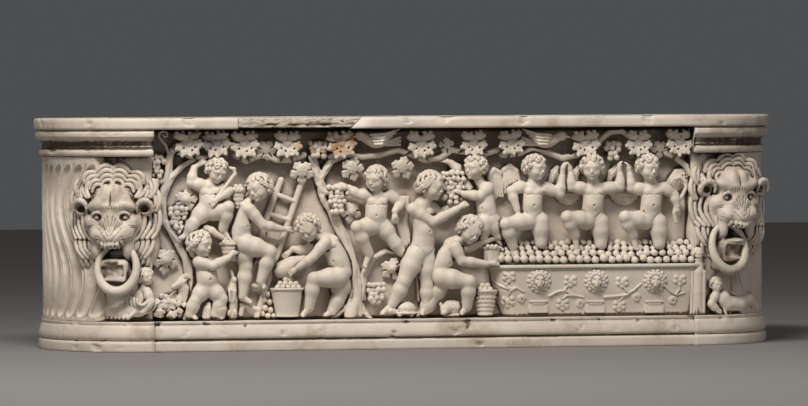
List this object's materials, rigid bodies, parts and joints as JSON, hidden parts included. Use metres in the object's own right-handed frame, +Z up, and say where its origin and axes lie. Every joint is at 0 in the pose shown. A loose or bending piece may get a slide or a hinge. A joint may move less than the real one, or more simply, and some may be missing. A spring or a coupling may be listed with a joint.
{
  "type": "sarcophagus",
  "caption": "Tub-shaped marble sarcophagus with rounded fluted ends, ring-holding lion heads and a high-relief grape-harvest frieze of winged children.",
  "frame": {"origin": "on the floor, in the middle of the trough's plan between the rounded ends, where the base rests", "axes": "+X along the trough to the right-hand lion, +Y from the carved front to the flat back, +Z up"},
  "size_m": [1.82, 0.6306, 0.558],
  "materials": {
    "marble": "honed, weathered",
    "carved_marble": "worn polish",
    "mended_marble": "rough, weathered",
    "mortar": "matte"
  },
  "bodies": {
    "root": {"base_plinth": "marble", "trough_basin": "marble", "rim_band": "marble", "cornice_left": "marble", "lion_head_left": "marble", "lion_ring_left": "marble", "fluted_end_left": "marble", "cornice_right": "marble", "lion_head_right": "marble", "lion_ring_right": "marble", "fluted_end_right": "marble", "rim_fragment": "mended_marble", "rim_join_mortar": "mortar", "vintager_on_vine": "carved_marble", "vintager_on_ladder": "carved_marble", "vintager_with_shoulder_basket": "carved_marble", "vintager_filling_basket": "carved_marble", "vintager_with_grape_basket": "carved_marble", "standing_youth": "carved_marble", "winged_vintager": "carved_marble", "vintager_with_hand_basket": "carved_marble", "treader_left": "carved_marble", "treader_middle": "carved_marble", "treader_right": "carved_marble", "reclining_figure_left": "carved_marble", "reclining_figure_right": "carved_marble", "treading_vat": "carved_marble", "back_basket": "carved_marble", "shoulder_basket": "carved_marble", "large_basket": "carved_marble", "hand_basket": "carved_marble", "wicker_basket": "carved_marble", "vat_grapes": "carved_marble", "grape_bunch_lion": "carved_marble", "grape_bunch_left_vine": "carved_marble", "grape_bunch_ladder": "carved_marble", "ring_basket": "carved_marble", "grape_bunch_centre_vine": "carved_marble", "grape_bunch_youth": "carved_marble", "grape_bunch_right": "carved_marble", "garland_left": "carved_marble", "garland_centre": "carved_marble", "garland_right": "carved_marble", "storage_jar": "carved_marble", "upright_hare": "carved_marble", "tortoise": "carved_marble", "sleeping_animal": "carved_marble", "goat_on_rocks": "carved_marble", "post_figure": "carved_marble", "cloak": "carved_marble", "bird_left": "carved_marble", "bird_right": "carved_marble", "centre_vine": "carved_marble", "left_vine": "carved_marble", "ladder": "carved_marble"}
  },
  "joints": []
}
